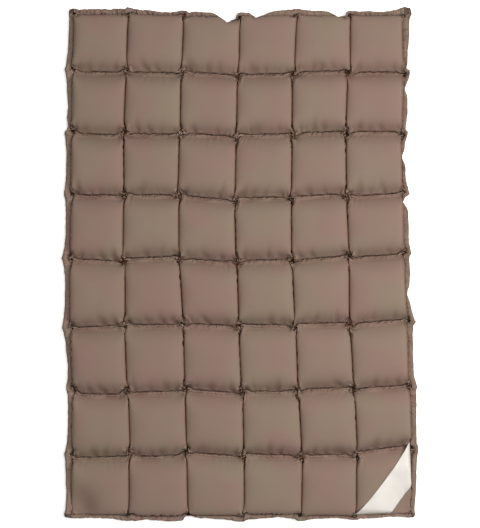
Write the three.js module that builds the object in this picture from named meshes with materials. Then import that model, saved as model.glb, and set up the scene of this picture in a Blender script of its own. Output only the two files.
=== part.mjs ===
// A child's duvet, quilted in squares and filled square by square, lying flat with its underside on z = 0.
// Millimetres, +X across the duvet, +Y towards its head, +Z up. The origin is the middle of its base.
import * as THREE from "three";
import { ParametricGeometry } from "three/addons/geometries/ParametricGeometry.js";
import { mergeGeometries, mergeVertices } from "three/addons/utils/BufferGeometryUtils.js";

// Driving dimensions
const COLUMNS = 6;
const ROWS = 8;
const SEAM_HEIGHT = 14; // the stitched lines, over the surface that the duvet lies on
const CLOTH = 1.2; // half of the stitched cloth's thickness at a seam
const CROWN = 27; // the top of a square over its seams
const BELLY = 22; // how far a square would swell under its seams with nothing to lie on
const FULLNESS_ROUND = 2.6; // high is flat in the middle of a square
const FULLNESS_EDGE = 0.6; // low is steep beside the seams
const DRAW_IN = { left: 4, right: 8, head: 3, foot: 0 }; // the outer seams between two lines of stitching
const HEM_DROP = 4; // the hem's outer edge under its seam
const HEM_WAVE = 2.5;
const LABEL_CLOTH = 0.4; // half of the label's thickness
const LABEL_CLEARANCE = 0.3; // between the label and the square that it lies on
const LABEL_BOW = 0.05; // how far the label's long inner side sags towards the corner, in squares

// One row for each line of stitching across the duvet, head first, in mm from the middle. "up" is its height up
// the duvet, and the others are where the seams down the duvet cross it, from the left to the right.
const CROSSINGS_X = [
  { seam: "head", left: -441, a: -295, b: -146, c: 0, d: 152, e: 295, right: 437 },
  { seam: "second", left: -446, a: -301, b: -154, c: -4, d: 144, e: 290, right: 443 },
  { seam: "third", left: -448, a: -306, b: -158, c: -8, d: 141, e: 286, right: 441 },
  { seam: "fourth", left: -448, a: -306, b: -162, c: -9, d: 138, e: 286, right: 442 },
  { seam: "fifth", left: -452, a: -306, b: -162, c: -5, d: 138, e: 294, right: 443 },
  { seam: "sixth", left: -452, a: -306, b: -152, c: -1, d: 145, e: 294, right: 451 },
  { seam: "seventh", left: -444, a: -303, b: -145, c: 5, d: 154, e: 302, right: 455 },
  { seam: "eighth", left: -446, a: -293, b: -141, c: 11, d: 161, e: 311, right: 460 },
  { seam: "foot", left: -446, a: -293, b: -137, c: 13, d: 165, e: 311, right: 457 },
];
const CROSSINGS_Y = [
  { seam: "head", left: 664, a: 664, b: 660, c: 657, d: 660, e: 660, right: 662 },
  { seam: "second", left: 517, a: 515, b: 512, c: 501, d: 507, e: 511, right: 511 },
  { seam: "third", left: 350, a: 352, b: 351, c: 343, d: 344, e: 348, right: 351 },
  { seam: "fourth", left: 186, a: 186, b: 188, c: 173, d: 176, e: 184, right: 189 },
  { seam: "fifth", left: 13, a: 12, b: 20, c: 5, d: 8, e: 27, right: 32 },
  { seam: "sixth", left: -164, a: -157, b: -156, c: -165, d: -168, e: -160, right: -148 },
  { seam: "seventh", left: -334, a: -332, b: -321, c: -339, d: -336, e: -324, right: -324 },
  { seam: "eighth", left: -507, a: -500, b: -496, c: -507, d: -508, e: -504, right: -486 },
  { seam: "foot", left: -664, a: -664, b: -664, c: -664, d: -666, e: -668, right: -662 },
];
const DOWN_SEAMS = ["left", "a", "b", "c", "d", "e", "right"];

// How far the folded hem reaches past its seam at each line of stitching, and halfway to the next one.
const HEM_REACH = {
  left: { atSeam: [13, 20, 17, 17, 22, 19, 17, 20, 19], between: [13, 12, 13, 12, 14, 13, 14, 16] },
  right: { atSeam: [19, 10, 9, 8, 12, 16, 13, 13, 10], between: [15, 13, 11, 12, 13, 12, 12, 11] },
  head: { atSeam: [15, 16, 13, 14, 18, 14, 22], between: [15, 12, 10, 9, 13, 12] },
  foot: { atSeam: [12, 19, 12, 19, 17, 16, 10], between: [11, 18, 14, 12, 12, 9] },
};
// Where the hem is folded in to a notch: the side, the place along it in squares, the depth and half the width.
const TUCKS = [
  { side: "head", at: 2.8, depth: 18, half: 0.2 },
  { side: "head", at: 3.3, depth: 10, half: 0.12 },
  { side: "head", at: 4.8, depth: 11, half: 0.15 },
  { side: "left", at: 1.93, depth: 12, half: 0.12 },
  { side: "right", at: 1.27, depth: 8, half: 0.15 },
  { side: "right", at: 2.4, depth: 9, half: 0.15 },
  { side: "right", at: 4.6, depth: 7, half: 0.15 },
  { side: "foot", at: 2.05, depth: 12, half: 0.12 },
];

// The grid's lines, in squares from the left or the head: the hem takes the last one on each side.
const LINES_IN_SQUARE = [0, 0.07, 0.24, 0.5, 0.76, 0.93];
const HEM_LINES = [1, 0.85]; // shares of the hem's reach

function gridLines(squares) {
  const lines = HEM_LINES.map((share) => -share);
  for (let square = 0; square < squares; square++) {
    lines.push(...LINES_IN_SQUARE.map((share) => square + share));
  }
  lines.push(squares, ...HEM_LINES.toReversed().map((share) => squares + share));
  return lines;
}

const ACROSS_LINES = gridLines(COLUMNS);
const DOWN_LINES = gridLines(ROWS);

// A table's value at a place in squares, straight between two lines of stitching.
function between(values, place) {
  const first = Math.min(Math.floor(place), values.length - 2);
  return THREE.MathUtils.lerp(values[first], values[first + 1], place - first);
}

function crossing(table, across, down) {
  return between(
    table.map((row) => between(DOWN_SEAMS.map((seam) => row[seam]), across)),
    down,
  );
}

// The hem's reach along a side: wide at a line of stitching, narrow halfway, and less in a tuck.
function hemReach(side, place) {
  const { atSeam, between: halfway } = HEM_REACH[side];
  const square = Math.min(Math.floor(place), halfway.length - 1);
  const share = place - square;
  const seams = THREE.MathUtils.lerp(atSeam[square], atSeam[square + 1], share);
  const reach = THREE.MathUtils.lerp(seams, halfway[square], Math.sin(Math.PI * share));
  const tucked = TUCKS.filter((tuck) => tuck.side === side).map(
    (tuck) => tuck.depth * Math.max(0, 1 - Math.abs(place - tuck.at) / tuck.half),
  );
  return reach - Math.min(Math.max(0, ...tucked), reach - 3);
}

// Where a place of the grid lies in plan.
function plan(across, down) {
  const s = THREE.MathUtils.clamp(across, 0, COLUMNS);
  const t = THREE.MathUtils.clamp(down, 0, ROWS);
  const swellAcross = Math.sin(Math.PI * (s % 1));
  const swellDown = Math.sin(Math.PI * (t % 1));
  let x = crossing(CROSSINGS_X, s, t);
  let y = crossing(CROSSINGS_Y, s, t);
  x += swellDown * (DRAW_IN.left * Math.max(0, 1 - s) - DRAW_IN.right * Math.max(0, s - COLUMNS + 1));
  y -= swellAcross * (DRAW_IN.head * Math.max(0, 1 - t) - DRAW_IN.foot * Math.max(0, t - ROWS + 1));
  if (across < 0) x += across * hemReach("left", t);
  if (across > COLUMNS) x += (across - COLUMNS) * hemReach("right", t);
  if (down < 0) y -= down * hemReach("head", s);
  if (down > ROWS) y -= (down - ROWS) * hemReach("foot", s);
  return { x, y };
}

// How full a square is at a share of its width: nothing at the seam, all of it in the middle.
function fullness(share) {
  return (1 - Math.abs(2 * share - 1) ** FULLNESS_ROUND) ** FULLNESS_EDGE;
}

function hemShare(across, down) {
  const past = [-across, across - COLUMNS, -down, down - ROWS];
  return Math.max(0, ...past);
}

// The height of the middle of the cloth: level at the seams, falling and waving out along the hem.
function clothHeight(across, down) {
  const share = hemShare(across, down);
  return SEAM_HEIGHT - share * (HEM_DROP + HEM_WAVE * Math.sin(2.3 * across + 3.1 * down));
}

// Squares take slightly different amounts of filling.
function fillOf(across, down) {
  const column = Math.min(Math.floor(across), COLUMNS - 1);
  const row = Math.min(Math.floor(down), ROWS - 1);
  return 1 + 0.05 * Math.sin(2.1 * column + 4.7 * row);
}

function pocket(across, down) {
  if (hemShare(across, down) > 0) return 0;
  return fillOf(across, down) * fullness(across % 1) * fullness(down % 1);
}

function topPoint(across, down) {
  const { x, y } = plan(across, down);
  const half = hemShare(across, down) === 1 ? 0 : CLOTH;
  return new THREE.Vector3(x, y, clothHeight(across, down) + half + CROWN * pocket(across, down));
}

function undersidePoint(across, down) {
  const { x, y } = plan(across, down);
  const half = hemShare(across, down) === 1 ? 0 : CLOTH;
  const hung = clothHeight(across, down) - half - BELLY * pocket(across, down);
  return new THREE.Vector3(x, y, Math.max(0, hung));
}

// Two sheets that share their outer edge, as one closed solid. Each takes the numbers of its grid line.
function closedSheets(columns, rows, upper, lower) {
  const onGrid = (share, count) => Math.round(share * count);
  const top = new ParametricGeometry(
    (u, v, point) => point.copy(upper(onGrid(u, columns), rows - onGrid(v, rows))),
    columns,
    rows,
  );
  const underside = new ParametricGeometry(
    (u, v, point) => point.copy(lower(onGrid(u, columns), onGrid(v, rows))),
    columns,
    rows,
  );
  const both = mergeGeometries([top, underside]);
  both.deleteAttribute("normal");
  both.deleteAttribute("uv");
  const closed = mergeVertices(both);
  closed.computeVertexNormals();
  return closed;
}

// The duvet: both panels, their filled squares, the channels sewn between them and the folded hem around them.
function duvet() {
  return closedSheets(
    ACROSS_LINES.length - 1,
    DOWN_LINES.length - 1,
    (i, j) => topPoint(ACROSS_LINES[i], DOWN_LINES[j]),
    (i, j) => undersidePoint(ACROSS_LINES[i], DOWN_LINES[j]),
  );
}

// A point on the duvet's flat facets, which lie a little under its rounded form.
function onDuvet(across, down) {
  const i = ACROSS_LINES.findLastIndex((line, k) => line <= across && k < ACROSS_LINES.length - 1);
  const j = DOWN_LINES.findLastIndex((line, k) => line <= down && k < DOWN_LINES.length - 1);
  const right = (across - ACROSS_LINES[i]) / (ACROSS_LINES[i + 1] - ACROSS_LINES[i]);
  const up = (DOWN_LINES[j + 1] - down) / (DOWN_LINES[j + 1] - DOWN_LINES[j]);
  const corner = (k, l) => topPoint(ACROSS_LINES[i + k], DOWN_LINES[j + l]);
  const near = right + up < 1;
  const start = near ? corner(0, 1) : corner(1, 0);
  const sideways = corner(near ? 1 : 0, near ? 1 : 0).sub(start);
  const upwards = corner(near ? 0 : 1, near ? 0 : 1).sub(start);
  return start
    .addScaledVector(sideways, near ? right : 1 - right)
    .addScaledVector(upwards, near ? up : 1 - up);
}

// The label's four corners, in squares: a ribbon laid across the duvet's corner, its ends caught in the hem's seam.
const LABEL_CORNERS = {
  innerFoot: { across: 5.02, down: 7.99 },
  innerSide: { across: 5.99, down: 7.02 },
  outerFoot: { across: 5.64, down: 7.99 },
  outerSide: { across: 5.99, down: 7.59 },
};
const LABEL_COLUMNS = 10;
const LABEL_ROWS = 22;

// A place on the label in squares of the duvet. "out" runs from its long inner side to the outer one.
function labelPlace(out, along) {
  const { innerFoot, innerSide, outerFoot, outerSide } = LABEL_CORNERS;
  const mix = (from, to, share) => from + share * (to - from);
  const bow = LABEL_BOW * (1 - out) * Math.sin(Math.PI * along);
  const place = (key) => {
    const inner = mix(innerFoot[key], innerSide[key], along) + bow;
    const outer = mix(outerFoot[key], outerSide[key], along);
    return mix(inner, outer, out);
  };
  return [place("across"), place("down")];
}

// The highest that the duvet reaches around a place on the label, so that the ribbon spans its hollows.
function underLabel(out, along) {
  const steps = [-1, -0.75, -0.5, -0.25, 0, 0.25, 0.5, 0.75, 1];
  const inside = (value) => THREE.MathUtils.clamp(value, 0, 1);
  const heights = steps.flatMap((i) =>
    steps.map((j) => onDuvet(...labelPlace(inside(out + i / LABEL_COLUMNS), inside(along + j / LABEL_ROWS))).z),
  );
  return Math.max(...heights);
}

// The label: a flat ribbon with thin edges.
function cornerLabel() {
  const isEdge = (line, count) => line === 0 || line === count;
  const surface = (side) => (i, j) => {
    const out = i / LABEL_COLUMNS;
    const along = 1 - j / LABEL_ROWS;
    const half = isEdge(i, LABEL_COLUMNS) || isEdge(j, LABEL_ROWS) ? 0 : LABEL_CLOTH;
    const point = onDuvet(...labelPlace(out, along));
    point.z = underLabel(out, along) + LABEL_CLEARANCE + LABEL_CLOTH + side * half;
    return point;
  };
  return closedSheets(LABEL_COLUMNS, LABEL_ROWS, surface(1), surface(-1));
}

function piece(name, geometry, material) {
  const mesh = new THREE.Mesh(geometry, material);
  mesh.name = name;
  return mesh;
}

const cottonCover = new THREE.MeshStandardMaterial({ color: "#92796b", roughness: 0.85, metalness: 0 });
const satinLabel = new THREE.MeshStandardMaterial({ color: "#f0e9e0", roughness: 0.5, metalness: 0 });

const part = new THREE.Group();
part.add(piece("duvet_body", duvet(), cottonCover), piece("corner_label", cornerLabel(), satinLabel));

// The hem is uneven, so the origin is set under the middle of the whole duvet.
const middle = new THREE.Box3().setFromObject(part).getCenter(new THREE.Vector3());
part.children.forEach((mesh) => mesh.geometry.translate(-middle.x, -middle.y, 0));

export default part;
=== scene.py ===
# A child's duvet, quilted in squares and filled, lying flat with a ribbon label across one corner.
import math

import bpy
import numpy as np
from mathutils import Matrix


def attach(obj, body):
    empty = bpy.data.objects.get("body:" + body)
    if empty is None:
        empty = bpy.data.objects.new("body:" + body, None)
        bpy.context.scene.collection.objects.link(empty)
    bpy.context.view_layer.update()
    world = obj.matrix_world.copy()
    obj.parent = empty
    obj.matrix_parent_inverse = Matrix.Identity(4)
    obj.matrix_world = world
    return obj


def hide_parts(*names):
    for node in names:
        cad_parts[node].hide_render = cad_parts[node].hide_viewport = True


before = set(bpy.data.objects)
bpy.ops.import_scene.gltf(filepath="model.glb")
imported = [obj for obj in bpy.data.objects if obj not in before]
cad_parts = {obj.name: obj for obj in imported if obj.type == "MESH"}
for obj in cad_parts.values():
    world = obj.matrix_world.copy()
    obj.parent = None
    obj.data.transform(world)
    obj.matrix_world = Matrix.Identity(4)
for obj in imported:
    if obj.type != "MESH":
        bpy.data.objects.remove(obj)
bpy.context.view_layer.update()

scene = bpy.context.scene
mm = 0.001
print("frame loaded")


def toLinear(hexColour):
    # An sRGB hex value to the linear colour that a shader takes.
    share = np.array([int(hexColour[k:k + 2], 16) / 255 for k in (1, 3, 5)])
    linear = np.where(share <= 0.04045, share / 12.92, ((share + 0.055) / 1.055) ** 2.4)
    return (*linear.tolist(), 1.0)


def quadsOf(numbers):
    # The quads between the neighbours in a grid of point numbers.
    corners = [numbers[:-1, :-1], numbers[:-1, 1:], numbers[1:, 1:], numbers[1:, :-1]]
    return np.stack(corners, axis=-1).reshape(-1, 4)


def newPiece(name, points, quads, material, extras=None):
    # One smooth mesh object at the origin, from points in millimetres and quads, with extra values for
    # each point.
    mesh = bpy.data.meshes.new(name)
    mesh.vertices.add(len(points))
    mesh.vertices.foreach_set("co", (np.asarray(points, float) * mm).astype(np.float32).ravel())
    mesh.loops.add(quads.size)
    mesh.loops.foreach_set("vertex_index", quads.astype(np.int32).ravel())
    mesh.polygons.add(len(quads))
    mesh.polygons.foreach_set("loop_start", np.arange(0, quads.size, 4, dtype=np.int32))
    mesh.update(calc_edges=True)
    mesh.validate()
    mesh.polygons.foreach_set("use_smooth", np.ones(len(mesh.polygons), bool))
    mesh.materials.append(material)
    for key, values in (extras or {}).items():
        kind, slot = ("FLOAT", "value") if values.ndim == 1 else ("FLOAT_VECTOR", "vector")
        mesh.attributes.new(key, kind, "POINT").data.foreach_set(slot, values.astype(np.float32).ravel())
    piece = bpy.data.objects.new(name, mesh)
    scene.collection.objects.link(piece)
    return piece


# Lengths are in mm, and places on the duvet in squares: s from its left side, t from its head.
duvet = {
    "columns": 6,
    "rows": 8,
    "squareWidth": 150,     # the mean size of a square
    "squareLength": 166,
    "hemWidth": 13,
    "seamHeight": 8.0,      # the stitched lines, over the floor
    "crown": 37.5,          # the middle of a square over its seams
    "belly": 22.0,          # how far it would swell underneath with nothing to lie on
    "unevenFill": 0.06,     # how much more or less filling a square has than the others, at most
    # The crown's section: how much of its height stands upright beside the seam, how flat its middle is,
    # how tight its shoulder is, where a low number is tighter, and how wide the flat rim beside the seam
    # is.
    "acrossShape": (0.6, 3.0, 0.5, 0),
    "headShape": (0.03, 3.0, 1.15, 2),      # the half of a square towards the head, and towards the foot
    "footShape": (0.04, 4.2, 1.05, 0),
    "outerShape": (0.75, 3.6, 0.42, 0),     # beside the hem
    "overhang": (3.8, 2.5, 3.8, 1.2),       # how far the outer squares swell out: left, right, head, foot
    "cornerSquareness": 5.0,
    "acrossLines": 42,      # mesh lines in a square
    "downLines": 28,
    "acrossCrowding": 0.45,     # how much closer the lines are beside the seams
    "downCrowding": 0.78,
    "bunching": (0.35, 0.9),    # how far the cloth of a crown's walls stays bunched at the crossings
    "knotTurn": 1.2,        # how far a crossing is twisted, in radians, and how far that reaches
    "knotReach": 13.0,
    "knotFolds": 3.8,       # how deep a crossing's small folds are, and the furrow that loops round it
    "knotLoops": 7.0,
    "strayFolds": 34,       # how many longer folds there are at crossings picked at random
    "seamWobble": 0.9,
    "puckerAbove": 5.5,     # the small gathers beside a seam across: how deep on either side of it
    "puckerBelow": 3.0,
    "leastHem": 3,          # what is left of the hem where a notch is cut into it
    "hemRipple": 0.5,
    "hemCurl": 6.0,         # how far the hem's edge turns up, its creases, and its lumps at the seams' ends
    "hemCreases": 3.2,
    "hemLumps": 4.0,
    "hemSeamPaintedShade": {"left": 0.05, "right": 0.45, "head": 0.07, "foot": 0.0},    # how much painted shade its seam gets
}

# Where the seams down the duvet cross those across it, from the head to the foot, in mm from the middle.
crossingsX = {
    "left": [-439, -444, -446, -447, -451, -451, -444, -446, -446],
    "a": [-294, -299, -306, -305, -307, -307, -300, -294, -293],
    "b": [-146, -153, -156, -161, -161, -150, -146, -141, -138],
    "c": [-2, -4, -7, -11, -7, -2, 6, 9, 9],
    "d": [149, 142, 141, 138, 139, 146, 152, 161, 158],
    "e": [289, 289, 283, 284, 291, 292, 302, 310, 310],
    "right": [437, 441, 436, 440, 441, 450, 454, 459, 455],
}
crossingsY = {
    "left": [664, 517, 356, 185, 16, -168, -331, -505, -663],
    "a": [665, 516, 351, 185, 9, -160, -333, -501, -664],
    "b": [660, 512, 348, 184, 16, -159, -328, -496, -665],
    "c": [655, 502, 339, 171, 6, -166, -338, -508, -666],
    "d": [661, 504, 341, 173, 9, -167, -337, -512, -667],
    "e": [660, 507, 346, 181, 21, -164, -332, -508, -668],
    "right": [662, 509, 346, 191, 31, -151, -323, -488, -662],
}
# How far a seam bows between two crossings: seams down the duvet to the right, one value for each row of
# squares, and seams across it upwards, one value for each column.
downBows = {
    "left": [4, 4, 3, 4, 4, 4, 4, 4],
    "a": [-1, -1, -1, -2, 4, 2, 5, 1],
    "b": [-1, -2, -3, 0, 1, 1, 1, 1],
    "c": [2, -2, -2, -3, 0, -1, 2, 3],
    "d": [2, -3, -2, -2, 0, 2, 4, 5],
    "e": [3, -3, -2, -2, -2, 0, 2, -1],
    "right": [-9, -8, -10, -8, -8, -8, -4, -3],
}
acrossBows = {
    "head": [-4, -3, -2, -1, -3, -3],
    "second": [-5, -4, 1, 3, 8, 3],
    "third": [-8, -3, 1, 6, 8, 7],
    "fourth": [-1, 0, -1, 6, 7, -1],
    "fifth": [-1, 6, 0, 4, 2, -3],
    "sixth": [-1, -1, 2, 6, 9, 6],
    "seventh": [-13, -8, -4, 0, 5, 2],
    "eighth": [-9, -11, -3, 4, 4, 9],
    "foot": [-1, -4, -1, 3, 1, 1],
}
# How far the hem reaches past its seam, in mm: at three places along each square, and at the last
# crossing.
hemPlaces = [0, 0.3, 0.65]
hemReach = {
    "left": [
        [15, 17, 17], [21, 18, 14], [23, 16, 17], [20, 17, 16],
        [22, 16, 17], [21, 17, 13], [17, 15, 15], [20, 20, 18], [20],
    ],
    "right": [
        [20, 22, 16], [12, 15, 16], [12, 11, 12], [13, 15, 17],
        [16, 17, 12], [18, 17, 17], [18, 18, 16], [16, 15, 15], [11],
    ],
    "head": [
        [14, 16, 16], [16, 14, 9], [12, 12, 12],
        [10, 13, 14], [17, 15, 14], [10, 14, 10], [20],
    ],
    "foot": [
        [12, 9, 11], [18, 10, 14], [13, 8, 12],
        [18, 12, 8], [16, 10, 8], [11, 9, 8], [11],
    ],
}
# Where the edge is drawn in to a notch: side, place along it in squares, depth in mm, and how far it
# reaches before and after that place, in squares. The hem gives way first, down to its least, and then
# the seam is pulled in.
hemTucks = [
    ("head", 2.8, 26, 0.3, 0.22),
    ("head", 3.3, 16, 0.12, 0.34),
    ("head", 4.8, 14, 0.2, 0.22),
    ("left", 1.93, 13, 0.14, 0.14),
    ("right", 1.27, 8, 0.15, 0.15),
    ("right", 2.4, 9, 0.15, 0.15),
    ("right", 3.17, 13, 0.14, 0.14),
    ("right", 4.6, 7, 0.15, 0.15),
    ("foot", 2.05, 15, 0.12, 0.18),
]
# The hem in section, from its seam (0) to its folded edge (1): half its thickness in mm.
hemSection = {0.0: 0.9, 0.1: 2.2, 0.22: 3.8, 0.42: 4.3, 0.68: 4.2, 0.85: 3.3, 0.95: 1.8, 1.0: 0.0}
# How creased the hem is beside each square: 0 is smooth, 1 is as creased as most of it.
hemCreased = {
    "left": [0.7, 0.6, 0.8, 0.7, 0.6, 0.7, 0.6, 0.4],
    "right": [1.1, 0.7, 0.9, 0.7, 0.8, 0.6, 0.7, 0.4],
    "head": [1.4, 1.4, 0.7, 0.7, 0.6, 1.2],
    "foot": [0.7, 0.7, 0.6, 0.8, 0.7, 0.4],
}
# Corners where the squares are flat and run into the hem without a groove: place and reach in squares.
flatCorners = [((0.08, 7.95), (0.32, 0.4)), ((5.97, 7.97), (0.42, 0.42))]
# Longer folds that run out of a crossing: its column and row, the way they run in degrees from +X,
# length, depth.
crossingFolds = [
    (3, 1, 118, 34, 3.0), (3, 1, 138, 24, 2.2), (3, 1, 98, 22, 2.0),
    (3, 2, 122, 38, 3.2), (3, 2, 143, 22, 2.0), (3, 3, 120, 32, 3.0),
    (3, 3, 150, 20, 1.8), (2, 2, 55, 24, 2.4), (1, 2, 128, 20, 1.8),
    (2, 4, 130, 34, 2.8), (2, 4, 150, 24, 2.0), (3, 4, 125, 26, 2.4),
    (4, 4, 60, 22, 2.0), (1, 3, 250, 20, 1.8), (5, 4, 120, 30, 2.2),
    (4, 5, 125, 24, 2.2), (2, 6, 128, 24, 2.0), (5, 6, 118, 26, 2.4),
    (3, 7, 125, 30, 2.6), (4, 7, 62, 20, 1.8),
]


def softNoise(x, y, size, seed):
    # Smooth noise from -1 to 1: a sum of a few plane waves of about the given length, turned and shifted
    # at random.
    waves = np.random.default_rng(seed)
    total = np.zeros(np.broadcast(x, y).shape)
    for _ in range(7):
        turn, shift = waves.uniform(0, math.tau, 2)
        length = size * waves.uniform(0.7, 1.5)
        total += np.sin((x * math.cos(turn) + y * math.sin(turn)) * math.tau / length + shift)
    return total / 4


def bell(distance, width):
    # One at no distance, and fading with its square.
    return np.exp(-(distance / width) ** 2)


def clothLines(squares, count, crowding):
    # Places of the mesh lines on the cut cloth, in squares: even steps less a share of a sine, so that
    # they crowd at the seams, with the hem's own lines outside.
    step = np.arange(count) / count
    inner = step - crowding * np.sin(math.tau * step) / math.tau
    hem = np.array(list(hemSection)[1:])
    middle = (np.arange(squares)[:, None] + inner[None, :]).ravel()
    return np.concatenate([-hem[::-1], middle, [squares], squares + hem])


def fromTable(table, s, t):
    # Bilinear between the rows (t) and columns (s) of a table.
    values = np.array(list(table.values()), float)
    i = np.clip(np.floor(s).astype(int), 0, values.shape[0] - 2)
    j = np.clip(np.floor(t).astype(int), 0, values.shape[1] - 2)
    u, v = s - i, t - j
    near = values[i, j] * (1 - v) + values[i, j + 1] * v
    far = values[i + 1, j] * (1 - v) + values[i + 1, j + 1] * v
    return near * (1 - u) + far * u


def bowed(table, along, beside):
    # The bow of the nearest seams: full from 15 % to 85 % of a square's side, none at the crossing, and
    # less with the distance from the seam.
    values = np.array(list(table.values()), float)
    square = np.clip(np.floor(along).astype(int), 0, values.shape[1] - 1)
    share = np.clip(along - square, 0, 1)
    bump = 1 - np.abs(2 * share - 1) ** 7
    seam = np.clip(np.floor(beside).astype(int), 0, values.shape[0] - 2)
    off = beside - seam
    return bump * (values[seam, square] * (1 - off) + values[seam + 1, square] * off)


def sidesOf(s, t):
    # The four sides: name, how far outside it a place is, the nearest place along it, a square's size
    # inwards from it, and the way out in plan.
    columns, rows = duvet["columns"], duvet["rows"]
    sIn, tIn = np.clip(s, 0, columns), np.clip(t, 0, rows)
    return (
        ("left", -s, tIn, duvet["squareWidth"], (-1, 0)),
        ("right", s - columns, tIn, duvet["squareWidth"], (1, 0)),
        ("head", -t, sIn, duvet["squareLength"], (0, 1)),
        ("foot", t - rows, sIn, duvet["squareLength"], (0, -1)),
    )


def hemShareOf(s, t):
    # 0 on the squares, and from 0 to 1 across the hem.
    return np.clip(np.maximum.reduce([outside for _, outside, *_ in sidesOf(s, t)]), 0, 1)


def reachOf(side, place):
    # The hem's reach along a side, and how far the seam itself is pulled in where a tuck is deeper than
    # the hem. A tuck's depth falls from its middle by what is left of its reach, to the power 1.3.
    reach = np.concatenate([np.array(row, float) for row in hemReach[side]])
    squares = len(hemReach[side]) - 1
    places = np.append((np.arange(squares)[:, None] + np.array(hemPlaces)[None, :]).ravel(), squares)
    ripple = duvet["hemRipple"] * softNoise(place * 160, squares + 0 * place, 22, 41)
    reach = np.interp(place, places, reach) + ripple
    cut = np.zeros_like(reach)
    for where, at, depth, before, after in hemTucks:
        if where == side:
            off = np.abs(place - at) / np.where(place < at, before, after)
            cut = np.maximum(cut, depth * np.clip(1 - off, 0, 1) ** 1.3)
    spare = reach - duvet["leastHem"]
    return reach - np.minimum(cut, spare), np.maximum(cut - spare, 0)


def planOf(s, t):
    # A place in squares to x and y in mm: the table, the bows, the hem's reach, and a turn round each
    # crossing that fades with the distance squared.
    columns, rows = duvet["columns"], duvet["rows"]
    sIn, tIn = np.clip(s, 0, columns), np.clip(t, 0, rows)
    x = fromTable(crossingsX, sIn, tIn) + bowed(downBows, tIn, sIn)
    y = fromTable(crossingsY, sIn, tIn) + bowed(acrossBows, sIn, tIn)
    # the gathers push the seams across a little up and down
    seam = np.round(tIn)
    nearSeam = bell((tIn - seam) * duvet["squareLength"], 7) * (hemShareOf(s, t) == 0)
    y += duvet["seamWobble"] * softNoise(x, 40 * seam, 16, 31) * nearSeam
    # the hem's corners are rounded: both ways out are cut to the corner of a superellipse
    outS, outT = np.maximum.reduce([-s, s - columns, 0 * s]), np.maximum.reduce([-t, t - rows, 0 * t])
    rounding = np.maximum(outS, outT) / np.maximum((outS ** 3 + outT ** 3) ** (1 / 3), 1e-9)
    rounding = np.where((outS > 0) & (outT > 0), rounding, 1)
    # where a seam is pulled in, the cloth behind it follows less and less over a few cm
    for side, outside, place, size, (wayX, wayY) in sidesOf(s, t):
        reach, pull = reachOf(side, place)
        inwards = np.maximum(-outside, 0) * size
        out = np.maximum(outside, 0) * reach * rounding - pull * np.exp(-inwards / 25)
        x += wayX * out
        y += wayY * out
    turns = np.random.default_rng(3).uniform(0.5, 1.0, (columns + 1, rows + 1))
    turns *= np.random.default_rng(4).choice([-1, 1], turns.shape) * duvet["knotTurn"]
    turns[[0, 0, columns, columns], [0, rows, 0, rows]] = 0
    plainX, plainY = x.copy(), y.copy()
    for columnX, columnY, columnTurns in zip(crossingsX.values(), crossingsY.values(), turns):
        for middleX, middleY, most in zip(columnX, columnY, columnTurns):
            dx, dy = plainX - middleX, plainY - middleY
            turn = most * bell(np.hypot(dx, dy), duvet["knotReach"])
            x += dx * (np.cos(turn) - 1) - dy * np.sin(turn)
            y += dx * np.sin(turn) + dy * (np.cos(turn) - 1)
    return x, y


def sectionOf(shape, size):
    # A square's section along the cloth over its crown: upright beside the seam, then one less the
    # distance from the middle to the power that makes it flat, all of it to the power that makes its
    # shoulder tight. Gives how far across the square each step lies, its height, its share of the cloth's
    # length, and how much longer the cloth is than the square.
    upright, flatness, tightness, rim = shape
    wallWidth = 0.003
    wall = np.linspace(0, 1, 60)
    over = (1 - np.cos(np.linspace(0, math.pi, 2001))) / 2
    between = wallWidth + (1 - 2 * wallWidth) * over
    share = np.concatenate([wall * wallWidth, between, 1 - wallWidth * wall[::-1]])
    fromMiddle = np.clip(np.abs(2 * over - 1) / (1 - 2 * rim / size), 0, 1)
    crown = upright + (1 - upright) * (1 - fromMiddle ** flatness) ** tightness
    height = np.concatenate([wall * upright, crown, wall[::-1] * upright])
    length = np.hypot(np.diff(share * size), np.diff(duvet["crown"] * height))
    length = np.concatenate([[0], np.cumsum(length)])
    return share, height, length / length[-1], length[-1] / size


def crownAlong(place, square, count, size, shapes):
    # One way over the squares: where a place on the cut cloth lies in its square, how high the crown is
    # there, from 0 to 1, and how much longer the cloth is than a square inside. The halves beside the hem
    # have the outer shape.
    outer = ((square == 0) & (place < 0.5)) | ((square == count - 1) & (place > 0.5))
    lies, full, longer = np.zeros_like(place), np.zeros_like(place), 0
    halves = (~outer & (place <= 0.5), ~outer & (place > 0.5), outer)
    for half, shape in zip(halves, (*shapes, "outerShape")):
        share, height, cut, more = sectionOf(duvet[shape], size)
        lies = np.where(half, np.interp(place, cut, share), lies)
        full = np.where(half, np.interp(place, cut, height), full)
        longer += more / 2 * (shape != "outerShape")
    return lies, full, longer


def creasedAt(s, t):
    # How creased the hem is there: the table's value for the square beside it, evened out along the side.
    values = np.zeros(np.broadcast(s, t).shape)
    for side, outside, place, _, _ in sidesOf(s, t):
        row = hemCreased[side]
        values = np.where(outside > 0, np.interp(place, np.arange(len(row)) + 0.5, row), values)
    return values


def cornerEase(s, t):
    # 1 on the squares and 0 in the middle of a flat corner: one less a bell of the distance's third power.
    ease = np.ones(np.broadcast(s, t).shape)
    for (middleS, middleT), (reachS, reachT) in flatCorners:
        ease *= 1 - np.exp(-(((s - middleS) / reachS) ** 2 + ((t - middleT) / reachT) ** 2) ** 1.5)
    return ease


def offSeams(s, t):
    # How far a place is from the nearest seam down and the nearest seam across, in mm.
    return (s - np.round(s)) * duvet["squareWidth"], (t - np.round(t)) * duvet["squareLength"]


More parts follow.
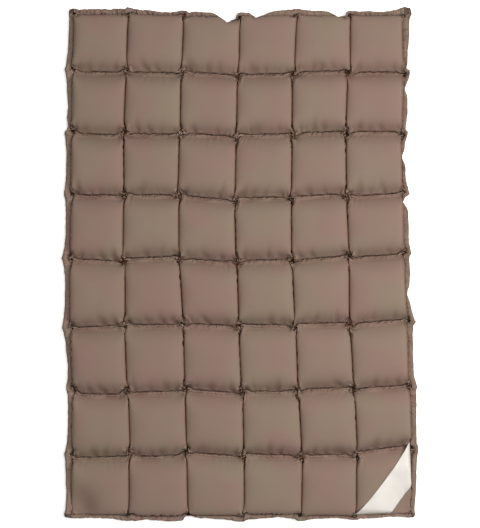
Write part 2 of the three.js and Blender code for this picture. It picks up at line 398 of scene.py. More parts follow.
def seamHeightOf(s, t, x, y):
    # The middle of the cloth: level on the seams, and along the hem waving, creased across, and lumpy at
    # the ends of the seams. The creases are the ridges where a noise passes through nothing.
    share = hemShareOf(s, t)
    offS, offT = offSeams(np.clip(s, 0, duvet["columns"]), np.clip(t, 0, duvet["rows"]))
    lump = duvet["hemLumps"] * bell(np.hypot(offS, offT), 10) * np.sin(math.pi * np.minimum(share, 0.95))
    creases = np.abs(softNoise(x, y, 34, 22)) + 0.6 * np.abs(softNoise(x, y, 15, 23))
    creases = (0.8 - creases) * (0.4 + creasedAt(s, t))
    wave = duvet["hemCurl"] + 2.5 * softNoise(x, y, 90, 21) + duvet["hemCreases"] * creases * 2
    return duvet["seamHeight"] + share * wave + lump


def creaseRelief(x, y, offSeam, seam):
    # What sewing leaves beside the seams across, in mm. Above a seam, soft furrows lean up the square
    # from it: the crests of a noise along the seam. Below it the flat rim is crinkled, with a groove
    # behind it.
    away = np.abs(offSeam)
    leaning = x + away * 0.6 * softNoise(x, 40 * seam, 150, 56)
    furrows = np.clip(1.7 * softNoise(leaning, 30 * seam, 30, 51) - 0.2, 0, 1) ** 0.8
    furrows += 0.35 * np.clip(1.4 * softNoise(leaning, 30 * seam, 12, 52), 0, 1) * np.exp(-away / 8)
    tall = 13 + 14 * np.clip(softNoise(x, 40 * seam, 60, 53) + 0.2, 0, 1)
    above = -duvet["puckerAbove"] * furrows * bell(away - 5, tall)
    crinkle = 0.35 * softNoise(x, 0 * y, 8, 54) + 0.65 * softNoise(x, 0 * y, 23, 57)
    roll = bell(away - 3.2, 2.2) * (0.4 + 0.75 * crinkle) - 1.1 * bell(away - 8.5, 2.4)
    below = duvet["puckerBelow"] * roll * np.clip(0.5 + 1.4 * softNoise(x, y, 90, 55), 0, 1.3)
    return np.where(offSeam < 0, above, below)


def knotRelief(x, y):
    # Small folds round each crossing: a sine of the angle, turned with the distance, times the distance
    # and a bell of it, whose most is 1, at 8 mm. And a furrow that loops round a place 3 mm from it on one
    # side, with a ridge inside the loop.
    relief, loops = np.zeros_like(x), np.zeros_like(x)
    reach, aside = 8, 3
    chance = np.random.default_rng(6)
    for columnX, columnY in zip(crossingsX.values(), crossingsY.values()):
        for middleX, middleY in zip(columnX, columnY):
            dx, dy = x - middleX, y - middleY
            away = np.hypot(dx, dy)
            twist = np.arctan2(dy, dx) * chance.integers(3, 6)
            twist += away * chance.uniform(-0.25, 0.25) + chance.uniform(0, math.tau)
            strong = 1.65 * away / reach * np.exp(-(away / reach) ** 2 / 2)
            relief += duvet["knotFolds"] * chance.uniform(0.6, 1.3) * np.sin(twist) * strong
            way = chance.uniform(0, math.tau)
            dx, dy = dx - aside * math.cos(way), dy - aside * math.sin(way)
            away, opening = np.hypot(dx, dy), np.cos(np.arctan2(dy, dx) - way)
            loop = 0.8 * bell(away - 5.5, 2.0) - bell(away - 9.5, 1.9)
            loop *= np.clip(0.5 + 1.5 * opening, 0, 1)
            loops += duvet["knotLoops"] * chance.uniform(0.4, 1.2) * loop
    return relief, loops


def strayFold(chance):
    # A fold at a random crossing, as in crossingFolds.
    column, row = chance.integers(1, duvet["columns"]), chance.integers(1, duvet["rows"])
    way = chance.choice([40, 60, 75, 105, 120, 140, 245, 290])
    return column, row, way, chance.uniform(14, 24), chance.uniform(1.0, 2.0)


def foldRelief(x, y):
    # The longer folds: a furrow along a line that bends a little with the square of the distance from its
    # crossing. Its depth is the root of the share of its length times what is left, so it is deepest at a
    # third, and it has a ridge half as high 5 mm to each side.
    relief = np.zeros_like(x)
    chance = np.random.default_rng(8)
    strays = [strayFold(chance) for _ in range(duvet["strayFolds"])]
    for i, j, way, length, depth in crossingFolds + strays:
        dx = x - list(crossingsX.values())[i][j]
        dy = y - list(crossingsY.values())[i][j]
        way = math.radians(way + chance.uniform(-8, 8))
        along = dx * math.cos(way) + dy * math.sin(way)
        beside = dy * math.cos(way) - dx * math.sin(way) + along ** 2 * 0.004
        share = np.clip(along / length, 0, 1)
        deep = 2.6 * depth * (share > 0) * np.sqrt(share) * (1 - share)
        relief += deep * (0.5 * bell(np.abs(beside) - 5, 3) - bell(beside, 1.8 + 2.2 * share))
    return relief


def coverGrid():
    # The cover on its filling. A point keeps its place on the cut cloth along a seam, so the gathers are
    # even there, and towards the middle of the square it moves to its place on the crown.
    columns, rows = duvet["columns"], duvet["rows"]
    lineS = clothLines(columns, duvet["acrossLines"], duvet["acrossCrowding"])
    lineT = clothLines(rows, duvet["downLines"], duvet["downCrowding"])
    s, t = np.meshgrid(lineS, lineT)
    share = hemShareOf(s, t)
    inside = share == 0
    i = np.clip(np.floor(s), 0, columns - 1).astype(int)
    j = np.clip(np.floor(t), 0, rows - 1).astype(int)
    clothU, clothV = np.clip(s - i, 0, 1), np.clip(t - j, 0, 1)
    acrossShapes, downShapes = ("acrossShape", "acrossShape"), ("headShape", "footShape")
    crownU, fullU, moreU = crownAlong(clothU, i, columns, duvet["squareWidth"], acrossShapes)
    crownV, fullV, moreV = crownAlong(clothV, j, rows, duvet["squareLength"], downShapes)
    # the smaller of the two sections, rounded where they are alike
    power = duvet["cornerSquareness"]
    full = (np.maximum(fullU, 1e-6) ** -power + np.maximum(fullV, 1e-6) ** -power - 1) ** (-1 / power)
    bunched = np.random.default_rng(5).uniform(*duvet["bunching"], (columns + 1, rows + 1))
    bunched = fromTable(dict(enumerate(bunched)), np.clip(s, 0, columns), np.clip(t, 0, rows))
    placeS = np.where(inside, i + clothU + (crownU - clothU) * (bunched + (1 - bunched) * fullV), s)
    placeT = np.where(inside, j + clothV + (crownV - clothV) * (bunched + (1 - bunched) * fullU), t)
    x, y = planOf(placeS, placeT)
    # the outer squares swell out over the hem, most at two fifths of their height, close to the seam
    swell = inside * np.sin(math.pi * np.clip(full / 0.85, 0, 1))
    left, right, head, foot = duvet["overhang"]
    x += swell * (right * np.exp(-(columns - placeS) * 15) - left * np.exp(-placeS * 15))
    y += swell * (head * np.exp(-placeT * 16) - foot * np.exp(-(rows - placeT) * 16))
    most = duvet["unevenFill"]
    uneven = 1 + np.random.default_rng(11).uniform(-most, most, (columns, rows))[i, j]
    fill = inside * np.maximum(full * uneven, 0) * cornerEase(placeS, placeT)
    # the hem's section, which is as thick at the seam as in its middle where a corner is flat
    half = np.interp(share, list(hemSection), list(hemSection.values()))
    flat = 1 - cornerEase(np.clip(s, 0, columns), np.clip(t, 0, rows))
    half += flat * (share < 0.42) * (hemSection[0.42] - half)
    # below a seam placeT is just over a whole number, above it just under
    seam = np.round(placeT)
    creases = creaseRelief(x, y, (placeT - seam) * duvet["squareLength"], seam) * (seam % rows > 0)
    relief = inside * (creases * np.clip(fullU * 1.5, 0, 1) + foldRelief(x, y) * np.clip(full * 3, 0, 1))
    return {
        "s": s, "t": t, "x": x, "y": y, "share": share, "half": half, "level": seamHeightOf(s, t, x, y),
        "full": inside * full, "fill": fill, "relief": relief, "more": (moreU, moreV),
    }


cover = coverGrid()
topHeight = cover["level"] + cover["half"] + duvet["crown"] * cover["fill"]
topPoints = np.stack([cover["x"], cover["y"], topHeight], axis=-1)
print("cover laid out", topPoints.shape)


# The cloth is cut wider than the seams leave it, so it gathers along them. Its cut size is the length
# over the middle of a square, and the filling holds it up while it settles.
settling = {
    "quality": 5,
    "frames": 16,
    "drawn": 11,            # the frame at which the seams are in place
    "ease": 0.98,           # cut size over the length across the crown
    "hemCut": 14,
    "mass": 0.002,
    "stretching": 15,
    "shearing": 3,
    "damping": 5,
    "pressure": 2.0,
    "bending": 0.5,
    "pinning": 5.0,
    "hold": (0.33, 0.55),   # how firmly the filling holds the cloth: at the crossings, and elsewhere
    "looseReach": 40,       # mm from one to the other
    "holdSteps": 9,
}


def cutGrid(grid):
    # The flat cloth before it is gathered: each square is wider and longer than its seams, as the cloth
    # has to go over the crown, and the points are even on it.
    s, t = grid["s"], grid["t"]
    columns, rows = duvet["columns"], duvet["rows"]
    moreU, moreV = grid["more"]

    def stretched(edges, places, more, squares):
        # Edges between squares (last axis) moved apart by the factor, then the places put between them.
        apart = np.cumsum(np.diff(edges, axis=1), axis=1) * more
        wide = np.concatenate([edges[:, :1], edges[:, :1] + apart], axis=1)
        k = np.clip(np.floor(places).astype(int), 0, squares - 1)
        row = np.arange(len(places))[:, None]
        inside = np.clip(places - k, 0, 1)
        along = wide[row, k] * (1 - inside) + wide[row, k + 1] * inside
        outside = np.minimum(places, 0) + np.maximum(places - squares, 0)
        return along + outside * settling["hemCut"] * np.sign(edges[0, -1] - edges[0, 0])

    seamX = planOf(*np.broadcast_arrays(np.arange(columns + 1.0)[None, :], t[:, :1]))[0]
    seamY = planOf(*np.broadcast_arrays(s[:1].T, np.arange(rows + 1.0)[None, :]))[1]
    x = stretched(seamX, s, moreU * settling["ease"], columns)
    y = stretched(seamY, t.T, moreV * settling["ease"], rows).T
    return np.stack([x, y, np.zeros_like(x)], axis=-1)


def pinnedPoints(work, grid):
    # The vertex group that holds the cloth: the seams and the hem in full, and the rest by the filling,
    # less firmly near the crossings, in even steps of the distance from them.
    offS, offT = offSeams(grid["s"], grid["t"])
    onSeam = (np.abs(offS) < 1e-6) | (np.abs(offT) < 1e-6) | (grid["share"] > 0)
    pinned = work.vertex_groups.new(name="pinned")
    everyPoint = np.arange(onSeam.size)
    pinned.add(everyPoint[onSeam.ravel()].tolist(), 1.0, "REPLACE")
    low, high = settling["hold"]
    firm = low + (high - low) * np.clip(np.hypot(offS, offT) / settling["looseReach"], 0, 1)
    steps, halfStep = np.linspace(low, high, settling["holdSteps"], retstep=True)
    for level in steps:
        here = ~onSeam & (np.abs(firm - level) <= halfStep / 2 + 1e-9)
        pinned.add(everyPoint[here.ravel()].tolist(), float(level), "REPLACE")
    return pinned


def settle(points, grid):
    # Blender's cloth on the upper cover. It starts flat, as it was cut, its seams are drawn to their
    # places on the filling, and the filling holds it softly everywhere else.
    down, across = points.shape[:2]
    quads = quadsOf(np.arange(across * down).reshape(down, across))[:, ::-1]
    plain = bpy.data.materials.new("cover_cloth")
    work = newPiece("cover_cloth", cutGrid(grid).reshape(-1, 3), quads, plain)
    work.shape_key_add(name="cut")
    laid = work.shape_key_add(name="laid")
    laid.data.foreach_set("co", (points.reshape(-1, 3) * mm).astype(np.float32).ravel())
    laid.value = 0
    laid.keyframe_insert("value", frame=1)
    laid.value = 1
    laid.keyframe_insert("value", frame=settling["drawn"])
    pinned = pinnedPoints(work, grid)
    cloth = work.modifiers.new("cloth", "CLOTH")
    how = cloth.settings
    how.quality = settling["quality"]
    how.mass = settling["mass"]
    how.vertex_group_mass = pinned.name
    how.pin_stiffness = settling["pinning"]
    how.tension_stiffness = how.compression_stiffness = settling["stretching"]
    how.shear_stiffness = settling["shearing"]
    how.bending_model = "ANGULAR"
    how.bending_stiffness = settling["bending"]
    how.tension_damping = how.compression_damping = how.shear_damping = settling["damping"]
    how.use_pressure = True
    how.uniform_pressure_force = settling["pressure"]
    how.effector_weights.gravity = 0
    cloth.collision_settings.use_collision = False
    cloth.point_cache.frame_start = 1
    cloth.point_cache.frame_end = settling["frames"]
    for step in range(1, settling["frames"] + 1):
        scene.frame_set(step)
    draped = work.evaluated_get(bpy.context.evaluated_depsgraph_get()).to_mesh()
    flat = np.empty(len(draped.vertices) * 3, np.float32)
    draped.vertices.foreach_get("co", flat)
    scene.frame_set(1)
    bpy.data.objects.remove(work)
    return flat.reshape(down, across, 3).astype(float) / mm


def keptApart(points, grid):
    # Neighbouring squares press on each other along the seams down, so neither may pass the seam's own
    # line, apart from a small wobble. A point near the line is drawn to it by up to 1.4 mm, fading with
    # the distance, and the points keep their order outwards. Near the seams across all of it fades out.
    lineS, lineT = grid["s"][0], grid["t"][:, 0]
    free = np.clip((np.abs(lineT - np.round(lineT)) - 0.06) / 0.06, 0, 1)
    for k in range(1, duvet["columns"]):
        seam = np.argmin(np.abs(lineS - k))
        line = points[:, seam, 0] + 0.9 * softNoise(points[:, seam, 1], 70.0 * k + 0 * lineT, 26, 61)
        for side in (-1, 1):
            here = (lineS - k) * side
            here = np.where((here > 1e-9) & (here < 0.5))[0]
            off = (points[:, here, 0] - line[:, None]) * side
            least = 0.1 + 0.02 * np.arange(len(here))[None, ::side]
            wanted = np.maximum(off - 1.4 * np.exp(-np.maximum(off, 0) / 3), least)
            points[:, here, 0] += (wanted - off) * side * free[:, None]
    return points


def tidied(points, aimed, grid):
    # What the simulation leaves rough. Beside the seams across, away from the crossings, the stitches
    # hold the cloth where it was laid, fading with the distance squared, and so they do at the crossings,
    # fading with its fourth power. Round those each point moves to the mean of its neighbours.
    points = keptApart(points, grid)
    offS, offT = offSeams(grid["s"], grid["t"])
    fromCrossing = np.hypot(offS, offT)
    onSquare = grid["share"] == 0
    seam = np.round(grid["t"])
    stitched = onSquare * (seam > 0) * (seam < duvet["rows"]) * bell(offT, 5)
    stitched *= np.clip((np.abs(offS) - 12) / 12, 0, 1)
    for held in (stitched[..., None], bell((fromCrossing / 11) ** 2, 1)[..., None]):
        points = points * (1 - held) + aimed * held
    moving = (0.8 * bell(fromCrossing, 14) * onSquare)[1:-1, 1:-1, None]
    for _ in range(5):
        mean = (points[:-2, 1:-1] + points[2:, 1:-1] + points[1:-1, :-2] + points[1:-1, 2:]) / 4
        points[1:-1, 1:-1] += (mean - points[1:-1, 1:-1]) * moving
    return points


settled = tidied(settle(topPoints, cover), topPoints, cover)
knots, loops = knotRelief(settled[..., 0], settled[..., 1])
cover["relief"] += knots * np.clip(cover["full"] * 6, 0, 1) + loops * np.clip(cover["full"] * 3, 0, 1)
settled[..., 2] += cover["relief"]
print("cover settled")


def closedGrid(upper, lower):
    # Two grids that share their outer edge: the points of both less the lower one's edge, and the quads.
    down, across = upper.shape[:2]
    numbers = np.arange(down * across).reshape(down, across)
    under = numbers.copy()
    under[1:-1, 1:-1] = down * across + np.arange((down - 2) * (across - 2)).reshape(down - 2, across - 2)
    points = np.concatenate([upper.reshape(-1, 3), lower[1:-1, 1:-1].reshape(-1, 3)])
    return points, np.concatenate([quadsOf(numbers)[:, ::-1], quadsOf(under)])


def onBothSides(values):
    # One value or vector for each point of a grid, in the order of closedGrid's points.
    rest = values.shape[2:]
    return np.concatenate([values.reshape(-1, *rest), values[1:-1, 1:-1].reshape(-1, *rest)])


def addNode(tree, kind, values=None, links=None, **settings):
    # Adds one node with its settings, its unlinked values and its incoming links.
    node = tree.nodes.new(kind)
    for key, value in settings.items():
        setattr(node, key, value)
    for key, value in (values or {}).items():
        node.inputs[key].default_value = value
    for key, source in (links or {}).items():
        tree.links.new(source, node.inputs[key])
    return node


def attributeOf(tree, name):
    # The node that reads one of the piece's own point values.
    return addNode(tree, "ShaderNodeAttribute", attribute_name=name)


def ramped(tree, value, low, high, most=1.0):
    # A value from 0 at the low end to the most at the high end.
    ends = {"From Min": low, "From Max": high, "To Max": most}
    return addNode(tree, "ShaderNodeMapRange", ends, {"Value": value}).outputs["Result"]


def product(tree, first, second):
    # One value times another.
    times = addNode(tree, "ShaderNodeMath", links={0: first, 1: second}, operation="MULTIPLY")
    return times.outputs["Value"]


def tinted(tree, colour, share, hexColour):
    # A share of one colour mixed into another.
    mix = addNode(tree, "ShaderNodeMix", links={"Factor": share, "A": colour}, data_type="RGBA")
    mix.inputs["B"].default_value = toLinear(hexColour)
    return mix.outputs["Result"]


def bumped(tree, height, depth, strength, normal=None):
    # A height as bump, its depth in mm, on top of another bump where there is one.
    links = {"Height": height} if normal is None else {"Height": height, "Normal": normal}
    values = {"Strength": strength, "Distance": depth * mm}
    return addNode(tree, "ShaderNodeBump", values, links).outputs["Normal"]


def waveScale(spacing):
    # The scale of a wave texture for a spacing, as it repeats every turn / (20 x its scale).
    return math.tau / (20 * spacing)


def newMaterial(name):
    # A material with nothing but its shader.
    material = bpy.data.materials.new(name)
    material.use_nodes = True
    tree = material.node_tree
    tree.nodes.clear()
    shader = addNode(tree, "ShaderNodeBsdfPrincipled")
    addNode(tree, "ShaderNodeOutputMaterial", links={"Surface": shader.outputs["BSDF"]})
    return material, tree, shader


cotton = {
    "colour": "#937f74",
    "paler": "#938475",
    "rosier": "#977d75",
    "palerPatch": 154,      # mm from one soft patch of colour to the next
    "rosierPatch": 111,
    "seamShadeColour": "#8d634b",    # painted shade: in a seam down, where light still comes in, and in one across
    "slitShadeColour": "#68442f",
    "knotShadeColour": "#4a3324",    # painted shade between the twisted strands of a crossing, and a painted highlight on them
    "knotHighlightColour": "#b3a294",
    "knotSpacing": 11,      # mm from one strand to the next, and their depth
    "knotDepth": 7,
    "threadSpacing": 1.1,   # mm; the real one is about 0.35, too fine to show
    "threadDepth": 0.3,
    "crinkleSpacing": 11,   # mm along a seam from one fine gather to the next, and their depth
    "crinkleDepth": 9,
    "roughness": 0.85,
}


def cottonColour(tree, place, strands):
    # The cloth's brown with its soft paler and rosier patches, and over it painted shade and light at the
    # seams: down in one the cloth sees only itself, so it is painted a richer, darker brown, and a
    # crossing's strands get painted shade where their noise is low and a painted highlight where it is high.
    patches = {"Scale": 1 / (cotton["palerPatch"] * mm), "Detail": 2.0, "Roughness": 0.5}
    rosy = {"Scale": 1 / (cotton["rosierPatch"] * mm), "Detail": 1.0, "W": 3.0}
    patches = addNode(tree, "ShaderNodeTexNoise", patches, {"Vector": place}).outputs["Fac"]
    rosy = addNode(tree, "ShaderNodeTexNoise", rosy, {"Vector": place}, noise_dimensions="4D").outputs["Fac"]
    knotted = attributeOf(tree, "knotted").outputs["Fac"]
    colour = addNode(tree, "ShaderNodeRGB").outputs["Color"]
    colour.default_value = toLinear(cotton["colour"])
    for shade, share in (
        ("paler", ramped(tree, patches, 0.35, 0.65)),
        ("rosier", ramped(tree, rosy, 0.4, 0.7, 0.7)),
        # painted shade in the seams down and across, and at the crossings painted shade between the strands
        # and a painted highlight on them
        ("seamShadeColour", attributeOf(tree, "seamPaintedShade").outputs["Fac"]),
        ("slitShadeColour", attributeOf(tree, "slitPaintedShade").outputs["Fac"]),
        ("knotShadeColour", product(tree, ramped(tree, strands, 0.52, 0.42), knotted)),
        ("knotHighlightColour", product(tree, ramped(tree, strands, 0.54, 0.62), knotted)),
    ):
        colour = tinted(tree, colour, share, cotton[shade])
    return colour


def wovenCotton():
    # Woven cotton, plain weave and brushed a little: matt, with a faint pale bloom at grazing angles.
    material, tree, shader = newMaterial("woven_cotton")
    place = addNode(tree, "ShaderNodeTexCoord").outputs["Object"]
    strands = {"Scale": 1 / (cotton["knotSpacing"] * mm), "Detail": 1.5, "Distortion": 1.6}
    strands = addNode(tree, "ShaderNodeTexNoise", strands, {"Vector": place}).outputs["Fac"]
    tree.links.new(cottonColour(tree, place, strands), shader.inputs["Base Color"])
    # warp and weft as two crossed waves
    thread = {"Scale": waveScale(cotton["threadSpacing"] * mm), "Distortion": 0.6, "Detail": 1.0}
    warp, weft = [
        addNode(tree, "ShaderNodeTexWave", thread, {"Vector": place}, bands_direction=way).outputs["Fac"]
        for way in ("X", "Y")
    ]
    normal = bumped(tree, product(tree, warp, weft), cotton["threadDepth"], 0.25)
    # gathers too fine for the mesh: noise drawn out across the seam, where the cloth is crinkled
    gather = attributeOf(tree, "gather").outputs["Vector"]
    drawnOut = addNode(tree, "ShaderNodeMapping", {"Scale": (1, 0.5, 1)}, {"Vector": gather})
    crinkles = {"Scale": 1 / cotton["crinkleSpacing"], "Detail": 2.0, "Roughness": 0.6, "Distortion": 0.8}
    crinkles = addNode(tree, "ShaderNodeTexNoise", crinkles, {"Vector": drawnOut.outputs["Vector"]})
    crinkles = product(tree, crinkles.outputs["Fac"], attributeOf(tree, "crinkled").outputs["Fac"])
    normal = bumped(tree, crinkles, cotton["crinkleDepth"], 1.0, normal)
    twisted = product(tree, strands, attributeOf(tree, "knotted").outputs["Fac"])
    normal = bumped(tree, twisted, cotton["knotDepth"], 1.0, normal)
    tree.links.new(normal, shader.inputs["Normal"])
    shader.inputs["Roughness"].default_value = cotton["roughness"]
    shader.inputs["IOR"].default_value = 1.45
    shader.inputs["Specular IOR Level"].default_value = 0.02
    shader.inputs["Sheen Weight"].default_value = 0.01
    shader.inputs["Sheen Tint"].default_value = toLinear(cotton["paler"])
    shader.inputs["Sheen Roughness"].default_value = 0.5
    return material


satin = {
    "colour": "#d9d4cd",
    "ribSpacing": 1.2,      # mm; a real one has ribs of about half that
    "ribDepth": 0.2,
    "roughness": 0.6,
}


def satinRibbon():
    # Polyester satin, woven in fine ribs across the ribbon: smooth, with a broad soft gloss.
    material, tree, shader = newMaterial("satin_ribbon")
    place = attributeOf(tree, "ribbonPlace").outputs["Vector"]
    rib = {"Scale": waveScale(satin["ribSpacing"]), "Distortion": 0.3}
    ribs = addNode(tree, "ShaderNodeTexWave", rib, {"Vector": place}, bands_direction="Y").outputs["Fac"]
    tree.links.new(bumped(tree, ribs, satin["ribDepth"], 0.15), shader.inputs["Normal"])
    shader.inputs["Base Color"].default_value = toLinear(satin["colour"])
    shader.inputs["Roughness"].default_value = satin["roughness"]
    shader.inputs["IOR"].default_value = 1.5
    shader.inputs["Sheen Weight"].default_value = 0.15
    return material


cottonFinish = wovenCotton()
satinFinish = satinRibbon()
print("materials made")


label = {
    # its corners in mm from the middle
    "innerFoot": (302, -667),
    "innerSide": (452, -469),
    "outerFoot": (402, -661),
    "outerSide": (457, -585),
    "bow": 6,               # how far its long inner side sags towards the corner, and the way there
    "bowWay": (0.8, -0.6),
    "lines": (28, 64),      # mesh lines over its width and along it
    "width": 70,
    "length": 180,          # seen from above, in the middle
    "thickness": 0.7,
    "lift": 0.6,            # the gap under it
    "feels": 6,             # how far from it the cover is looked at
    "seamed": 15,           # how high its ends are, where the hem's seam holds them
    "endFall": 20,          # how far from an end it starts to fall
}


def ribbonSurface():
    # A ribbon between two straight ends, its inner side bowed by half a sine. Its height is the highest
    # point of the cover nearby, evened out, and by a quarter of a sine both ends go down to the hem's seam.
    out, along = np.meshgrid(np.linspace(0, 1, label["lines"][0]), np.linspace(0, 1, label["lines"][1]))
    bow = label["bow"] * (1 - out) * np.sin(math.pi * along)
    plan = []
    for k, way in enumerate(label["bowWay"]):
        inner = label["innerFoot"][k] + (label["innerSide"][k] - label["innerFoot"][k]) * along + bow * way
        outer = label["outerFoot"][k] + (label["outerSide"][k] - label["outerFoot"][k]) * along
        plan.append(inner + (outer - inner) * out)
    right, above = label["innerFoot"][0] - label["feels"], label["innerSide"][1] + label["feels"]
    near = settled[(settled[..., 0] > right) & (settled[..., 1] < above)]
    apart = [plan[k].ravel()[:, None] - near[None, :, k] for k in (0, 1)]
    height = np.where(np.hypot(*apart) < label["feels"], near[None, :, 2], 0).max(axis=1).reshape(out.shape)
    for _ in range(24):
        height[1:-1] = (height[:-2] + 2 * height[1:-1] + height[2:]) / 4
        height[:, 1:-1] = (height[:, :-2] + 2 * height[:, 1:-1] + height[:, 2:]) / 4
    fromEnd = np.clip(np.minimum(along, 1 - along) * label["length"] / label["endFall"], 0, 1)
    height = label["seamed"] + (height - label["seamed"]) * np.sin(math.pi / 2 * fromEnd)
    height += label["lift"] + 1.5 * fromEnd + 0.5 * softNoise(plan[0], plan[1], 45, 71)
    place = np.stack([label["width"] * out, label["length"] * along, 0 * out], axis=-1)
    return np.stack([plan[0], plan[1], height], axis=-1), place


def pressedUnder(points, ribbon):
    # The cover's points are no higher than the ribbon's lowest within 5 mm, less its thickness and the gap.
    apart = [points[:, None, k] - ribbon[None, :, k] for k in (0, 1)]
    roof = np.where(np.hypot(*apart) < 5, ribbon[None, :, 2], np.inf).min(axis=1)
    roof -= label["thickness"] + label["lift"]
    return np.minimum(points[:, 2], roof)


labelTop, ribbonPlace = ribbonSurface()
# the corner square with its seams
corner = (cover["s"] > duvet["columns"] - 1.1) & (cover["t"] > duvet["rows"] - 1.2)
settled[corner, 2] = pressedUnder(settled[corner], labelTop.reshape(-1, 3))
labelUnder = labelTop - [0, 0, label["thickness"]]
# both faces meet half-way down at the ribbon's edge
edge = np.ones(labelTop.shape[:2], bool)
edge[1:-1, 1:-1] = False
labelTop[edge, 2] -= label["thickness"] / 2
points, quads = closedGrid(labelTop[::-1], labelUnder[::-1])
labelValues = {"ribbonPlace": onBothSides(ribbonPlace[::-1])}
labelPiece = newPiece("ribbon_label", points, quads, satinFinish, labelValues)
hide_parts("corner_label")
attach(labelPiece, "root")
print("label laid")


def paintedShadeValues(points, grid):
    # Three values for each point. The first is painted shade, a richer brown in a seam down the duvet, by a
    # bell of the distance from its line. The second is painted shade, the same for a seam across and for the
    # hem's seams, with the groove below a seam across, the furrows, mostly those round the crossings, and
    # the hem's folded edge. The third is a bell of the distance from the nearest crossing, where the strands
    # get painted shade and a painted highlight.
    s, t, share = grid["s"], grid["t"], grid["share"]
    columns, rows, tone = duvet["columns"], duvet["rows"], duvet["hemSeamPaintedShade"]
    seamS, seamT = np.clip(np.round(s), 0, columns), np.clip(np.round(t), 0, rows)
    x, y = points[..., 0], points[..., 1]
    beside, below = x - planOf(seamS, t)[0], planOf(s, seamT)[1] - y
    hemDown = np.select([seamS == 0, seamS == columns], [tone["left"], tone["right"]], 0)
    hemAcross = np.select([seamT == 0, seamT == rows], [tone["head"], tone["foot"]], 0)
    innerDown, innerAcross = (seamS > 0) & (seamS < columns), (seamT > 0) & (seamT < rows)
    squares = cornerEase(s, t) * (share == 0)
    # painted shade: a richer brown beside each inner seam down, fading with a bell of the distance
    seamPaintedShade = 0.6 * innerDown * bell(beside, 2) * squares
    # painted shade in the groove below each seam across
    groove = 0.3 * bell(below - 7, 4.5) * np.clip(0.6 + softNoise(x, 40 * seamT, 70, 58), 0, 1)
    offS, offT = (s - seamS) * duvet["squareWidth"], (t - seamT) * duvet["squareLength"]
    # painted shade in the furrows, most of it round the crossings
    furrows = (0.12 + 0.75 * bell(np.hypot(offS, offT), 17)) * np.clip(-grid["relief"] / 3, 0, 1)
    # painted shade along the seams across and the hem's seams across
    slit = (0.1 * innerAcross + hemAcross) * bell(below, 3)
    # all of it painted shade, the hem's seams down included
    slitPaintedShade = np.maximum.reduce([slit, hemDown * bell(beside, 3), groove * innerAcross, furrows]) * squares
    # painted shade on the hem's folded edge, darker towards its rim
    slitPaintedShade = np.maximum(slitPaintedShade, 0.3 * np.clip((share - 0.72) / 0.2, 0, 1))
    crossingX, crossingY = [np.array(list(table.values())) for table in (crossingsX, crossingsY)]
    column, row = seamS.astype(int), seamT.astype(int)
    fromCrossing = np.hypot(x - crossingX[column, row], y - crossingY[column, row])
    # where the crossings' strands get painted shade and a painted highlight, and their bump
    knotted = np.clip(1.3 * bell(fromCrossing, 11), 0, 1) * (share < 0.3) * cornerEase(s, t)
    return {"seamPaintedShade": seamPaintedShade, "slitPaintedShade": slitPaintedShade, "knotted": knotted}


def gatherValues(grid):
    # gather: the place along the nearest seam and the distance from it, in mm, each seam far from others.
    # crinkled: how gathered the cloth is there, which is full on the hem and on the rims below the seams
    # across, less above them, and none on the squares.
    s, t, share = grid["s"], grid["t"], grid["share"]
    columns, rows, hem, seamsApart = duvet["columns"], duvet["rows"], duvet["hemWidth"], 997
    seamS, seamT = np.clip(np.round(s), 0, columns), np.clip(np.round(t), 0, rows)
    offS, offT = (s - seamS) * duvet["squareWidth"], (t - seamT) * duvet["squareLength"]
    outS, outT = np.maximum(-s, s - columns), np.maximum(-t, t - rows)
    alongDown = (outS > 0) | ((np.abs(offS) < np.abs(offT)) & (outT <= 0))
    lengthDown, lengthAcross = t * duvet["squareLength"], s * duvet["squareWidth"]
    along = np.where(alongDown, lengthDown + seamsApart * seamS, lengthAcross + seamsApart * seamT)
    aside = np.where(alongDown, np.where(outS > 0, outS * hem, offS), np.where(outT > 0, outT * hem, offT))
    rim = np.clip(offT / 2, 0, 1) * np.clip((12 - offT) / 4, 0, 1)
    rim += 0.4 * np.clip(-offT / 3, 0, 1) * bell(offT, 9)
    crinkled = np.where(share > 0, 0.3 + 0.7 * creasedAt(s, t), np.where(alongDown, 0, rim))
    return {"crinkled": crinkled, "gather": np.stack([along, aside, 0 * s], axis=-1)}


# The underside swells like the top, but less, and lies flat on the floor. It stays 1 mm below the top.
underside = settled.copy()
seamBottom = cover["level"] - cover["half"]
swelling = np.maximum(settled[..., 2] - cover["level"] - cover["half"], 0)
underside[..., 2] = np.clip(seamBottom - swelling * duvet["belly"] / duvet["crown"], 0, settled[..., 2] - 1)
points, quads = closedGrid(settled, underside)
coverValues = {**paintedShadeValues(settled, cover), **gatherValues(cover)}
coverValues = {key: onBothSides(values) for key, values in coverValues.items()}
duvetPiece = newPiece("quilted_duvet", points, quads, cottonFinish, coverValues)
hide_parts("duvet_body")
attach(duvetPiece, "root")
print("duvet made", len(quads) * 2, "triangles")


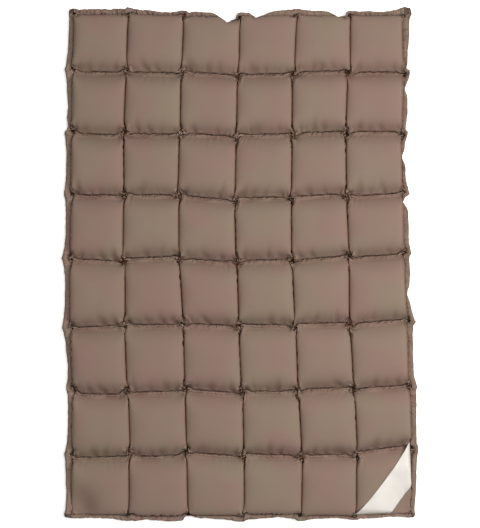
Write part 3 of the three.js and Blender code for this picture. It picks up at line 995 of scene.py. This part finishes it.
stage = {
    "floor": "#fbfaf8",
    "floorHalf": 4000,      # mm
    "floorGap": 0.5,        # under the duvet
    "glow": 0.3,            # the floor is a lit table, so it shows no shadow
    "lens": 100,
    "film": 36,             # mm for the picture's longer side
    "pixels": 528,          # in that side
    "pixel": 2.66,          # mm of the duvet for one of them
    "aside": 1,             # how far to the right of the duvet's middle the picture's middle is
    "sky": 0.16,
    # softboxes: where each hangs, in metres, how wide it is and its power in watts
    "softboxes": {
        "side_softbox": ((2.2, 0.3, 2.7), 1.6, 69),
        "top_softbox": ((0.4, 0.3, 5.0), 3.0, 169),
    },
}

floorFinish, _, floorShader = newMaterial("matt_white_floor")
floorShader.inputs["Base Color"].default_value = toLinear(stage["floor"])
floorShader.inputs["Roughness"].default_value = 0.9
floorShader.inputs["Emission Color"].default_value = (1, 1, 1, 1)
floorShader.inputs["Emission Strength"].default_value = stage["glow"]
floorPlan = np.array([[-1, -1], [1, -1], [1, 1], [-1, 1]]) * stage["floorHalf"]
floorPoints = np.column_stack([floorPlan, np.full(4, -stage["floorGap"])])
floor = newPiece("floor", floorPoints, np.array([[0, 1, 2, 3]]), floorFinish)

world = bpy.data.worlds.new("studio")
scene.world = world
world.use_nodes = True
world.node_tree.nodes["Background"].inputs["Color"].default_value = (1, 1, 1, 1)
world.node_tree.nodes["Background"].inputs["Strength"].default_value = stage["sky"]

for name, (place, size, power) in stage["softboxes"].items():
    lightData = bpy.data.lights.new(name, "AREA")
    lightData.shape = "DISK"
    lightData.size = size
    lightData.energy = power
    softbox = bpy.data.objects.new(name, lightData)
    softbox.location = place
    softbox.rotation_euler = (-softbox.location).to_track_quat("-Z", "Y").to_euler()
    scene.collection.objects.link(softbox)

cameraData = bpy.data.cameras.new("camera")
cameraData.lens = stage["lens"]
camera = bpy.data.objects.new("camera", cameraData)
distance = stage["lens"] / stage["film"] * stage["pixels"] * stage["pixel"]
camera.location = (stage["aside"] * mm, 0, (duvet["seamHeight"] + distance) * mm)
scene.collection.objects.link(camera)
scene.camera = camera
scene.view_settings.view_transform = "Standard"
scene.view_settings.gamma = 0.83    # a camera's own contrast
print("studio set")
